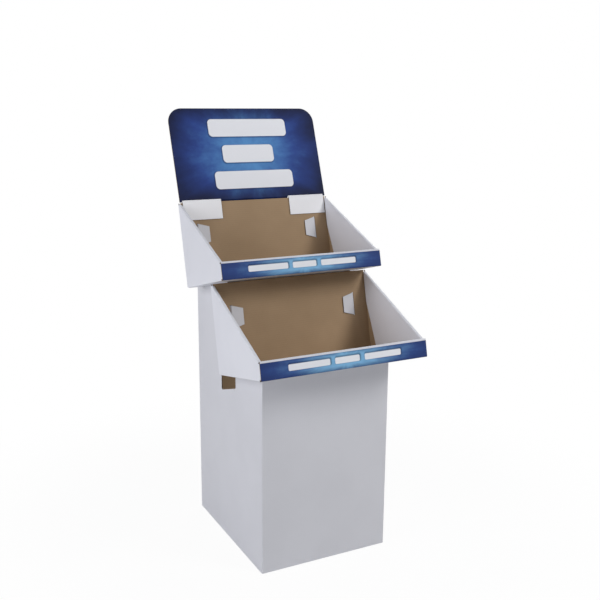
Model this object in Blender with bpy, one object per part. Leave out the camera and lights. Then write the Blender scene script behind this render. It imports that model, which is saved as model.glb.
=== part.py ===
"""Cardboard floor display stand, in metres, with +Z up and the front towards -Y.

Four folded sheets make it. A column has side panels cut in steps. Two equal trays sit on the steps,
tilted back, and tabs of the column hook through slots in their back panels. A header card straddles
the back panel of the upper tray. The origin is on the floor, under the middle of the whole stand.

The column is worked out in its own frame, whose Y starts at the column's front face. A tray has a
frame of its own: x across, y from the lip's face to the back, z up from the underside of its floor.
"""

import math
from typing import NamedTuple

import bmesh
import bpy
from mathutils import Matrix, Vector


class Seat(NamedTuple):
    """Where a tilted sheet sits: its lowest front edge, and how far it leans back."""

    y: float
    z: float
    lean: float


# Board and folds
BOARD = 0.003
FOLD_RADIUS = 0.002  # at the middle of the board
FOLD_STEPS = 4
SHARP_ANGLE = math.radians(30)  # between faces that keep a hard edge in shading
GAP = 0.0003  # between sheets that touch, and between the layers of one sheet
SLOT_CLEARANCE = 0.0015
OVERRUN = 0.02  # how far a cutter runs past what it cuts
JOIN = 0.012  # how far two stretches of one sheet run into each other
GRID = 0.000001  # outlines are rounded to this, so that faces meant to share a plane share it exactly

# Column
COLUMN_WIDTH = 0.408
COLUMN_DEPTH = 0.483
COLUMN_HEIGHT = 0.95
GLUE_FLAP = 0.035
HAND_HOLE_WIDTH = 0.108
HAND_HOLE_HEIGHT = 0.058
HAND_HOLE_SHIFT = 0.006  # from the middle of the panel towards the front
HAND_HOLE_DROP = 0.087  # from the lower tray's rear corner to the hole's lower edge at its rear end
HAND_HOLE_RISE = 0.036  # how much higher the lower edge is at the front end
HAND_HOLE_CORNER = 0.006
TEAR_WIDTH = 0.0012
TEAR_DEPTH = 0.011
TEAR_SETBACK = 0.011  # from the hole's front end

# Trays, both from one blank
TRAY_WIDTH = 0.5137
TRAY_DEPTH = 0.297
TRAY_BACK = 0.2608
TRAY_LIP = 0.0525
CORNER_FLAP = 0.085
FRONT_FLAP = 0.055
INNER_SIDE_RELIEF = 0.004  # between the back panel and an inner side panel
INNER_SIDE_BREAK = 0.163  # height at which an inner side panel leaves the rear corner
INNER_SIDE_SETBACK = 0.047  # how far it has left that corner at the floor
LOCK_TAB_WIDTH = 0.05
LOCK_TAB_SPREAD = 0.16  # from the middle of the tray to the middle of a lock tab
LOCK_TAB_DROP = 0.002

# Where the trays sit on the column
UPPER_TRAY_INSET = 0.05794  # from the column's back to the tray's rear lower corner
UPPER_TRAY_DROP = 0.19297  # from the column's top to that corner
UPPER_TRAY_LEAN = math.radians(15.16)
LOWER_TRAY_INSET = 0.30769
LOWER_TRAY_LEAN = math.radians(12.81)
TRAY_CLEARANCE = 0.0027  # from the top of the lower tray's back panel up to the upper tray

# Column tabs that hook the trays
HOOK_LOW = 0.1265
HOOK_HIGH = 0.1937
HOOK_REACH = 0.0375
HOOK_TAPER = 0.0098
HOOK_ROOT = 0.004  # how far a tab runs into its side panel

# Header card
HEADER_WIDTH = 0.5044
HEADER_HEIGHT = 0.2982
HEADER_CORNER = 0.046
HEADER_CORNER_STEPS = 10
HEADER_LEAN = math.radians(20.23)
HEADER_RISE = 0.0024  # from the top of the tray's back panel to the card's crease
HEADER_BEND = 0.003  # height over which the card swings out to its tabs, above the crease
HEADER_FOOT = 0.0546  # how far tabs and tongue reach down the tray's back panel
HEADER_SLIT = 0.118  # from the middle of the card to the slit between tongue and tab
HEADER_SLIT_WIDTH = 0.002
HEADER_TAB_WIDTH = 0.1265

# Worked out from the sizes above
SIDE_WALL = 3 * BOARD + 2 * GAP
LIP_WALL = SIDE_WALL


def make_material(name, colour, roughness):
    """A plain board finish."""
    material = bpy.data.materials.new(name)
    material.use_nodes = True
    shader = material.node_tree.nodes["Principled BSDF"]
    shader.inputs["Base Color"].default_value = (*colour, 1)
    shader.inputs["Roughness"].default_value = roughness
    shader.inputs["Metallic"].default_value = 0
    return material


def left_of(before, after):
    """Unit vector to the left of a run from one point to another."""
    run = (after - before).normalized()
    return Vector((-run.y, run.x))


def arc_normals(before, corner, after, radius, steps):
    """Points and left-hand normals along the arc that rounds one corner of a line."""
    run_in, run_out = (corner - before).normalized(), (after - corner).normalized()
    turn = math.atan2(run_in.cross(run_out), run_in.dot(run_out))
    start = corner - run_in * radius * math.tan(abs(turn) / 2)
    normal = left_of(before, corner)
    inward = math.copysign(radius, turn)
    centre = start + normal * inward
    turned = [Matrix.Rotation(turn * step / steps, 2) @ normal for step in range(steps + 1)]
    return [(centre - direction * inward, direction) for direction in turned]


def on_grid(points):
    """The same points, each value rounded to the grid."""
    return [tuple(round(value / GRID) * GRID for value in point) for point in points]


def folded_outline(corners):
    """Outline of a board whose middle line runs through the corners, folded round at each."""
    line = [Vector(corner) for corner in corners]
    middle = [(line[0], left_of(line[0], line[1]))]
    for before, corner, after in zip(line, line[1:], line[2:]):
        middle += arc_normals(before, corner, after, FOLD_RADIUS, FOLD_STEPS)
    middle.append((line[-1], left_of(line[-2], line[-1])))
    left = [point + normal * BOARD / 2 for point, normal in middle]
    right = [point - normal * BOARD / 2 for point, normal in middle]
    return on_grid(left + right[::-1])


def loft(bm, start_ring, end_ring):
    """Closed solid between two rings of as many points."""
    corners = [bm.verts.new(point) for point in start_ring]
    face = bm.faces.new(corners)
    grown = bmesh.ops.extrude_face_region(bm, geom=[face])["geom"]
    by_place = {tuple(v.co): v for v in grown if isinstance(v, bmesh.types.BMVert)}
    moves = [(by_place[tuple(v.co)], Vector(point)) for v, point in zip(corners, end_ring)]
    for vert, place in moves:
        vert.co = place
    bmesh.ops.recalc_face_normals(bm, faces=bm.faces)


def prism_x(bm, outline, low, high):
    """Solid of a (y, z) outline between two values of x."""
    loft(bm, [(low, y, z) for y, z in outline], [(high, y, z) for y, z in outline])


def prism_y(bm, outline, low, high):
    """Solid of an (x, z) outline between two values of y."""
    loft(bm, [(x, low, z) for x, z in outline], [(x, high, z) for x, z in outline])


def prism_z(bm, outline, low, high):
    """Solid of an (x, y) outline between two values of z."""
    loft(bm, [(x, y, low) for x, y in outline], [(x, y, high) for x, y in outline])


def box(bm, x, y, z):
    """Block between the low and high values of each axis."""
    prism_z(bm, [(x[0], y[0]), (x[1], y[0]), (x[1], y[1]), (x[0], y[1])], *z)


def mirrored(outline):
    """The same outline on the other side of the middle."""
    return [(-x, y) for x, y in outline]


def both_sides(span):
    """A span of x on the right, and the one that mirrors it."""
    low, high = span
    return (low, high), (-high, -low)


def make_object(name, bm):
    """Object that holds the mesh, at the origin."""
    mesh = bpy.data.meshes.new(name)
    bm.to_mesh(mesh)
    bm.free()
    piece = bpy.data.objects.new(name, mesh)
    bpy.context.scene.collection.objects.link(piece)
    return piece


def combine(piece, tool, operation):
    """Boolean of a piece and a guide shape."""
    modifier = piece.modifiers.new(tool.name, "BOOLEAN")
    modifier.operation = operation
    modifier.solver = "EXACT"
    modifier.object = tool


def remove_tools(piece):
    """Remove the guide shapes of a piece's booleans, and theirs."""
    for tool in [modifier.object for modifier in piece.modifiers]:
        remove_tools(tool)
        bpy.data.objects.remove(tool, do_unlink=True)


def settle(piece):
    """Apply a piece's booleans where it was made, before it is placed."""
    graph = bpy.context.evaluated_depsgraph_get()
    mesh = bpy.data.meshes.new_from_object(piece.evaluated_get(graph))
    remove_tools(piece)
    piece.modifiers.clear()
    piece.data = mesh
    mesh.name = piece.name


def finish(piece, material):
    """Give a finished sheet its material and rounded shading."""
    piece.data.materials.append(material)
    piece.data.shade_smooth()
    piece.data.set_sharp_from_angle(angle=SHARP_ANGLE)


def place(piece, seat, parent):
    """Put a finished sheet on its seat."""
    piece.parent = parent
    piece.location = (0, seat.y, seat.z)
    piece.rotation_euler = (-seat.lean, 0, 0)


def seat_matrix(seat):
    """Placement of a leaning sheet in the column's frame."""
    return Matrix.Translation((0, seat.y, seat.z)) @ Matrix.Rotation(-seat.lean, 4, "X")


def seat_point(seat, depth, height):
    """A point of a leaning sheet's side view, as (y, z) in the column's frame."""
    point = seat_matrix(seat) @ Vector((0, depth, height))
    return point.y, point.z


def crossing(first, second):
    """Where two lines of a side view cross. Each line is a point and a second point."""
    (start, end), (other_start, other_end) = ([Vector(p) for p in line] for line in (first, second))
    run, other_run = end - start, other_end - other_start
    share = (other_start - start).cross(other_run) / run.cross(other_run)
    return tuple(start + run * share)


def tray_seat(corner, lean):
    """Seat of a tray whose rear lower corner lies at a (y, z) point of the column."""
    y, z = corner
    return Seat(y - TRAY_DEPTH * math.cos(lean), z + TRAY_DEPTH * math.sin(lean), lean)


def upper_corner():
    """Where the upper tray's rear lower corner lies on the column, as (y, z)."""
    return COLUMN_DEPTH - UPPER_TRAY_INSET, COLUMN_HEIGHT - UPPER_TRAY_DROP


def lower_corner():
    """The same for the lower tray, whose back panel ends just under the upper tray."""
    y, (upper_y, upper_z) = COLUMN_DEPTH - LOWER_TRAY_INSET, upper_corner()
    top_y = y + TRAY_BACK * math.sin(LOWER_TRAY_LEAN)
    underside = upper_z + (upper_y - top_y) * math.tan(UPPER_TRAY_LEAN)
    return y, underside - TRAY_CLEARANCE - TRAY_BACK * math.cos(LOWER_TRAY_LEAN)


def upper_seat():
    """Seat of the upper tray."""
    return tray_seat(upper_corner(), UPPER_TRAY_LEAN)


def lower_seat():
    """Seat of the lower tray."""
    return tray_seat(lower_corner(), LOWER_TRAY_LEAN)


def hand_hole_sill():
    """Height of the hand holes' lower edge at its rear end."""
    return lower_corner()[1] - HAND_HOLE_DROP


def hand_hole_ends():
    """Front and rear end of the hand holes."""
    middle = COLUMN_DEPTH / 2 - HAND_HOLE_SHIFT
    return middle - HAND_HOLE_WIDTH / 2, middle + HAND_HOLE_WIDTH / 2


def seat_lines(seat):
    """Lines that the column's edges follow under a tray's floor and behind its back panel."""
    rear, under = TRAY_DEPTH + GAP, -GAP
    floor_line = (seat_point(seat, 0, under), seat_point(seat, rear, under))
    back_line = (seat_point(seat, rear, under), seat_point(seat, rear, TRAY_BACK))
    return floor_line, back_line


def column_steps(front, ceiling):
    """Stepped edge of the column's side panels, as (y, z) points from a front y up to a height."""
    lower_floor, lower_back = seat_lines(lower_seat())
    upper_floor, upper_back = seat_lines(upper_seat())
    start = ((front, 0), (front, ceiling))
    end = ((0, ceiling), (COLUMN_DEPTH, ceiling))
    return [
        crossing(start, lower_floor),
        lower_floor[1],
        crossing(lower_back, upper_floor),
        upper_floor[1],
        crossing(upper_back, end),
    ]


def column_plan():
    """Plan outline of the column: one strip from the glue flap, round the sleeve, over the flap."""
    side = COLUMN_WIDTH / 2 - BOARD / 2
    front, back = BOARD / 2, COLUMN_DEPTH - BOARD / 2
    flap = back - BOARD - GAP
    seam_side = COLUMN_WIDTH / 2
    corners = [(seam_side - BOARD - GLUE_FLAP, flap), (side, flap), (side, front)]
    corners += [(-side, front), (-side, back), (seam_side, back)]
    return folded_outline(corners)


def rounded_corner(before, corner, after, radius, steps):
    """Points of the arc that rounds one corner of an outline."""
    points = arc_normals(Vector(before), Vector(corner), Vector(after), radius, steps)
    return on_grid(point for point, _ in points)


def rounded_outline(corners, radius, steps):
    """Closed outline with each of its corners rounded."""
    outline = []
    for index, corner in enumerate(corners):
        before, after = corners[index - 1], corners[(index + 1) % len(corners)]
        outline += rounded_corner(before, corner, after, radius, steps)
    return outline


def hand_hole_cutter():
    """Slanted hole with upright ends, through both side panels."""
    front, rear = hand_hole_ends()
    sill = hand_hole_sill()
    sill_front = sill + HAND_HOLE_RISE
    corners = [(front, sill_front), (rear, sill)]
    corners += [(rear, sill + HAND_HOLE_HEIGHT), (front, sill_front + HAND_HOLE_HEIGHT)]
    reach = COLUMN_WIDTH / 2 + OVERRUN
    bm = bmesh.new()
    prism_x(bm, rounded_outline(corners, HAND_HOLE_CORNER, FOLD_STEPS), -reach, reach)
    return make_object("hand_hole_cutter", bm)


def tear_cutter():
    """Short wedge torn down from the left hand hole, near its front end."""
    y = hand_hole_ends()[0] + TEAR_SETBACK
    edge = hand_hole_sill() + HAND_HOLE_RISE * (1 - TEAR_SETBACK / HAND_HOLE_WIDTH)
    outline = [(y - TEAR_WIDTH / 2, edge + HAND_HOLE_CORNER), (y, edge - TEAR_DEPTH)]
    outline += [(y + TEAR_WIDTH / 2, edge + HAND_HOLE_CORNER)]
    wall = COLUMN_WIDTH / 2
    bm = bmesh.new()
    prism_x(bm, outline, -wall - OVERRUN, -wall + BOARD + OVERRUN)
    return make_object("tear_cutter", bm)


def step_cutter():
    """Everything above the stepped edge of the side panels."""
    ceiling = COLUMN_HEIGHT + OVERRUN
    outline = [*column_steps(-OVERRUN, ceiling), (-OVERRUN, ceiling)]
    reach = COLUMN_WIDTH / 2 + OVERRUN
    bm = bmesh.new()
    prism_x(bm, outline, -reach, reach)
    return make_object("step_cutter", bm)


def hook_tabs(name, seat):
    """Two tabs that pass through a tray's back panel and fold in, flat on its front."""
    side = COLUMN_WIDTH / 2 - BOARD / 2
    flat = TRAY_DEPTH - BOARD - GAP - BOARD / 2
    free = COLUMN_WIDTH / 2 - HOOK_REACH
    outline = folded_outline([(free, flat), (side, flat), (side, TRAY_DEPTH + GAP + HOOK_ROOT)])

    def height(x, end, inwards):
        return end + inwards * HOOK_TAPER * (COLUMN_WIDTH / 2 - abs(x)) / HOOK_REACH

    bm = bmesh.new()
    for plan in (outline, mirrored(outline)):
        low = [(x, y, height(x, HOOK_LOW, 1)) for x, y in plan]
        high = [(x, y, height(x, HOOK_HIGH, -1)) for x, y in plan]
        loft(bm, low, high)
    bm.transform(seat_matrix(seat))
    return make_object(name, bm)


def build_column(parent):
    """Sleeve with stepped sides, hand holes and the tabs that hook the trays."""
    bm = bmesh.new()
    prism_z(bm, column_plan(), 0, COLUMN_HEIGHT)
    column = make_object("column", bm)
    combine(column, step_cutter(), "DIFFERENCE")
    combine(column, hand_hole_cutter(), "DIFFERENCE")
    combine(column, tear_cutter(), "DIFFERENCE")
    combine(column, hook_tabs("lower_hooks", lower_seat()), "UNION")
    combine(column, hook_tabs("upper_hooks", upper_seat()), "UNION")
    settle(column)
    finish(column, make_material("column_board", (0.78, 0.79, 0.83), 0.6))
    column.parent = parent


def side_top(depth):
    """Height of a tray's side wall at a distance behind the lip's face."""
    share = (depth - LIP_WALL - GAP) / (TRAY_DEPTH - LIP_WALL - GAP)
    return TRAY_LIP + (TRAY_BACK - TRAY_LIP) * max(0, share)


def tray_section(depth):
    """Section across a tray: inner panel, fold, outer panel, floor, and the same on the left."""
    outer = TRAY_WIDTH / 2 - BOARD / 2
    inner = TRAY_WIDTH / 2 - SIDE_WALL + BOARD / 2
    floor, foot, top = BOARD / 2, BOARD + GAP, side_top(depth) - BOARD / 2
    corners = [(inner, foot), (inner, top), (outer, top), (outer, floor)]
    corners += [(-outer, floor), (-outer, top), (-inner, top), (-inner, foot)]
    return folded_outline(corners)


def rear_release_cutter():
    """Room at each rear corner for the back panel and its flap, inside the outer side panel."""
    bm = bmesh.new()
    span = (TRAY_WIDTH / 2 - SIDE_WALL - GAP, TRAY_WIDTH / 2 - BOARD)
    back = (TRAY_DEPTH - BOARD - GAP, TRAY_DEPTH + OVERRUN)
    for x in both_sides(span):
        box(bm, x, back, (BOARD, TRAY_BACK + OVERRUN))
    return make_object("rear_release_cutter", bm)


def inner_side_cutter():
    """Trims the inner side panels, which lean away from the rear corners towards the floor."""
    rear, end, top = TRAY_DEPTH - BOARD - INNER_SIDE_RELIEF, TRAY_DEPTH + OVERRUN, TRAY_BACK + OVERRUN
    outline = [(rear, top), (rear, INNER_SIDE_BREAK), (TRAY_DEPTH - INNER_SIDE_SETBACK, BOARD)]
    outline += [(end, BOARD), (end, top)]
    span = (TRAY_WIDTH / 2 - SIDE_WALL - OVERRUN, TRAY_WIDTH / 2 - SIDE_WALL + BOARD + GAP)
    bm = bmesh.new()
    for x in both_sides(span):
        prism_x(bm, outline, *x)
    return make_object("inner_side_cutter", bm)


def lip_strip():
    """Floor edge, lip and the layer folded over it, with the inner layer short of the side walls."""
    face, inner = BOARD / 2, LIP_WALL - BOARD / 2
    floor, top = BOARD / 2, TRAY_LIP - BOARD / 2
    corners = [(inner, BOARD + GAP), (inner, top), (face, top), (face, floor), (LIP_WALL + JOIN, floor)]
    half = TRAY_WIDTH / 2
    bm = bmesh.new()
    prism_x(bm, folded_outline(corners), -half, half)
    strip = make_object("lip_strip", bm)
    notch = bmesh.new()
    for x in both_sides((half - BOARD - GAP, half + OVERRUN)):
        box(notch, x, (BOARD, LIP_WALL + GAP), (BOARD, TRAY_LIP - BOARD))
    combine(strip, make_object("lip_notch", notch), "DIFFERENCE")
    shoulder = bmesh.new()
    for x in both_sides((half - BOARD - 2 * FOLD_RADIUS, half + OVERRUN)):
        box(shoulder, x, (LIP_WALL + GAP, LIP_WALL + JOIN + OVERRUN), (-OVERRUN, BOARD + OVERRUN))
    combine(strip, make_object("lip_shoulder", shoulder), "DIFFERENCE")
    return strip


def front_flaps():
    """Front ends of the outer side panels, folded in between the two layers of the lip."""
    side, flat = TRAY_WIDTH / 2 - BOARD / 2, BOARD + GAP + BOARD / 2
    end = TRAY_WIDTH / 2 - BOARD - FRONT_FLAP
    outline = folded_outline([(end, flat), (side, flat), (side, LIP_WALL + GAP + JOIN)])
    bm = bmesh.new()
    for plan in (outline, mirrored(outline)):
        prism_z(bm, plan, BOARD + GAP, TRAY_LIP - BOARD - GAP)
    return make_object("front_flaps", bm)


def back_strip():
    """Rear stretch of the floor, folded up into the back panel."""
    rear = TRAY_DEPTH - BOARD / 2
    corners = [(TRAY_DEPTH - BOARD - JOIN, BOARD / 2), (rear, BOARD / 2), (rear, TRAY_BACK)]
    reach = TRAY_WIDTH / 2 - BOARD - GAP - JOIN
    bm = bmesh.new()
    prism_x(bm, folded_outline(corners), -reach, reach)
    return make_object("back_strip", bm)


def rear_flaps():
    """Ends of the back panel, folded forward between the two layers of each side wall."""
    side, rear = TRAY_WIDTH / 2 - BOARD - GAP - BOARD / 2, TRAY_DEPTH - BOARD / 2
    outline = folded_outline([(side, TRAY_DEPTH - CORNER_FLAP), (side, rear), (side - 2 * JOIN, rear)])
    bm = bmesh.new()
    for plan in (outline, mirrored(outline)):
        prism_z(bm, plan, BOARD + GAP, TRAY_BACK)
    flaps = make_object("rear_flaps", bm)
    cut = bmesh.new()
    front, back = TRAY_DEPTH - CORNER_FLAP - OVERRUN, TRAY_DEPTH - BOARD - GAP
    under = BOARD + GAP
    profile = [(front, side_top(front) - under), (back, side_top(back) - under)]
    profile += [(back, TRAY_BACK + OVERRUN), (front, TRAY_BACK + OVERRUN)]
    for x in both_sides((side - BOARD, side + BOARD)):
        prism_x(cut, profile, *x)
    combine(flaps, make_object("rear_flap_trim", cut), "DIFFERENCE")
    return flaps


def slot_cutter():
    """Slots in the back panel for the column's tabs, and in the floor for the lock tabs."""
    clear = SLOT_CLEARANCE
    bm = bmesh.new()
    for x in both_sides((COLUMN_WIDTH / 2 - BOARD - clear, COLUMN_WIDTH / 2 + clear)):
        back = (TRAY_DEPTH - BOARD - OVERRUN, TRAY_DEPTH + OVERRUN)
        box(bm, x, back, (HOOK_LOW - clear, HOOK_HIGH + clear))
    half = LOCK_TAB_WIDTH / 2 + clear
    for x in both_sides((LOCK_TAB_SPREAD - half, LOCK_TAB_SPREAD + half)):
        box(bm, x, (LIP_WALL - BOARD - GAP, LIP_WALL + GAP), (-OVERRUN, BOARD + GAP / 2))
    return make_object("slot_cutter", bm)


def lock_tabs():
    """Tabs of the lip's inner layer that pass down through the floor."""
    half = LOCK_TAB_WIDTH / 2
    bm = bmesh.new()
    for x in both_sides((LOCK_TAB_SPREAD - half, LOCK_TAB_SPREAD + half)):
        box(bm, x, (LIP_WALL - BOARD, LIP_WALL), (-LOCK_TAB_DROP, BOARD + JOIN))
    return make_object("lock_tabs", bm)


def build_tray(name, seat, parent):
    """Tray with double side walls and a double lip, on its seat."""
    front = LIP_WALL + GAP
    bm = bmesh.new()
    start = [(x, front, z) for x, z in tray_section(front)]
    end = [(x, TRAY_DEPTH, z) for x, z in tray_section(TRAY_DEPTH)]
    loft(bm, start, end)
    tray = make_object(name, bm)
    combine(tray, rear_release_cutter(), "DIFFERENCE")
    combine(tray, inner_side_cutter(), "DIFFERENCE")
    combine(tray, lip_strip(), "UNION")
    combine(tray, front_flaps(), "UNION")
    combine(tray, back_strip(), "UNION")
    combine(tray, rear_flaps(), "UNION")
    combine(tray, slot_cutter(), "DIFFERENCE")
    combine(tray, lock_tabs(), "UNION")
    settle(tray)
    finish(tray, make_material(f"{name}_board", (0.74, 0.75, 0.80), 0.6))
    place(tray, seat, parent)


def header_seat():
    """Foot of the header card's face, over the front of the upper tray's back panel."""
    y, z = seat_point(upper_seat(), TRAY_DEPTH - BOARD, TRAY_BACK + HEADER_RISE)
    return Seat(y, z, HEADER_LEAN)


def header_outline():
    """Face of the header panel, as (x, z) points, with round top corners."""
    half = HEADER_WIDTH / 2
    foot_left, foot_right = (-half, 0), (half, 0)
    top_left, top_right = (-half, HEADER_HEIGHT), (half, HEADER_HEIGHT)
    arc = (HEADER_CORNER, HEADER_CORNER_STEPS)
    outline = [foot_left, foot_right]
    outline += rounded_corner(foot_right, top_right, top_left, *arc)
    outline += rounded_corner(top_right, top_left, foot_left, *arc)
    return outline


def header_leg(depth):
    """Side view of a tab or the tongue, in the card's frame, at a depth in the tray's frame."""
    to_card = seat_matrix(header_seat()).inverted() @ seat_matrix(upper_seat())
    foot = to_card @ Vector((0, depth, TRAY_BACK - HEADER_FOOT))
    shoulder = to_card @ Vector((0, depth, TRAY_BACK + GAP))
    corners = [foot.yz, shoulder.yz, (BOARD / 2, HEADER_BEND), (BOARD / 2, HEADER_BEND + JOIN)]
    return folded_outline(corners)


def header_legs():
    """Two tabs in front of the tray's back panel, and the tongue behind it."""
    front = header_leg(TRAY_DEPTH - BOARD - GAP - BOARD / 2)
    rear = header_leg(TRAY_DEPTH + GAP + BOARD / 2)
    slit_end = HEADER_SLIT - HEADER_SLIT_WIDTH
    bm = bmesh.new()
    for x in both_sides((HEADER_SLIT, HEADER_SLIT + HEADER_TAB_WIDTH)):
        prism_x(bm, front, *x)
    prism_x(bm, rear, -slit_end, slit_end)
    return make_object("header_legs", bm)


def build_header(parent):
    """Header card on the back panel of the upper tray."""
    bm = bmesh.new()
    prism_y(bm, header_outline(), 0, BOARD)
    card = make_object("header_card", bm)
    combine(card, header_legs(), "UNION")
    settle(card)
    finish(card, make_material("header_print", (0.05, 0.09, 0.30), 0.45))
    place(card, header_seat(), parent)


def stand_middle():
    """Distance from the column's front face to the middle of the whole stand."""
    fold = FOLD_RADIUS + BOARD / 2
    lean = LOWER_TRAY_LEAN
    front = lower_seat().y + fold * (math.cos(lean) + math.sin(lean) - 1)
    rear = seat_point(header_seat(), BOARD, HEADER_HEIGHT)[0]
    return (front + rear) / 2


def build_stand():
    """Empty at the stand's origin, with the four sheets on it."""
    origin = bpy.data.objects.new("stand_origin", None)
    bpy.context.scene.collection.objects.link(origin)
    origin.location = (0, -stand_middle(), 0)
    build_column(origin)
    build_tray("lower_tray", lower_seat(), origin)
    build_tray("upper_tray", upper_seat(), origin)
    build_header(origin)


for leftover in list(bpy.data.objects):
    bpy.data.objects.remove(leftover, do_unlink=True)
build_stand()
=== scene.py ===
"""Looks of a cardboard floor display: a stepped column, two tilted trays and a header card.

Each part is a blank of corrugated board. It is cut and folded here as its middle surface, thickened to
the board's real thickness, and given fluting in its raw edges. All lengths are metres.
"""

from __future__ import annotations

import logging
import math
from dataclasses import dataclass, field, replace
from enum import Enum
from typing import Iterable, Sequence

import bmesh
import bpy
from mathutils import Matrix, Vector


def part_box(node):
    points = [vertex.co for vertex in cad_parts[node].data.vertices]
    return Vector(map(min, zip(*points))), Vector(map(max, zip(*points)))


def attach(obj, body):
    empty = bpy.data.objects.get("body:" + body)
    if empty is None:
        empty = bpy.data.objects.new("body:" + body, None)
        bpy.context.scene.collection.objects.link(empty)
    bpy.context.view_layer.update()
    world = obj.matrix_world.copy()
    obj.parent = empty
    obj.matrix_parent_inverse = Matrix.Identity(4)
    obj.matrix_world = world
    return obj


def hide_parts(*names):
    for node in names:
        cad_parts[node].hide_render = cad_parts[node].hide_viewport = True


logger = logging.getLogger("display_stand")
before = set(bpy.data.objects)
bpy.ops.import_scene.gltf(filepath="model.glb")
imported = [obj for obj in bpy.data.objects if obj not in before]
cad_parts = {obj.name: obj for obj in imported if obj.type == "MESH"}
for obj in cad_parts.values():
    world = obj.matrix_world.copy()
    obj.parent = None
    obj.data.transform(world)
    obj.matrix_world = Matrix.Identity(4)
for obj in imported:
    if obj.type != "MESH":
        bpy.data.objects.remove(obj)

RIGHT_ANGLE = math.radians(90)


@dataclass(frozen=True)
class Board:
    """Single-wall corrugated board."""

    thickness: float = 0.003
    liner: float = 0.00035
    fold_radius: float = 0.002
    fold_steps: int = 6
    gap: float = 0.0003
    flute_pitch: float = 0.0065
    flute_sheet: float = 0.00022
    flute_samples: int = 8
    edge_recess: float = 0.0014

    @property
    def half(self) -> float:
        """Half the board's thickness."""
        return self.thickness / 2

    @property
    def flute_height(self) -> float:
        """How far the fluting's middle swings to either side of the board's middle."""
        return self.half - self.liner - self.flute_sheet / 2


BOARD = Board()


class Face(Enum):
    """Which finish a panel has on its outer side. The value is its first material slot."""

    PLAIN = 0
    PRINTED = 3


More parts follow.
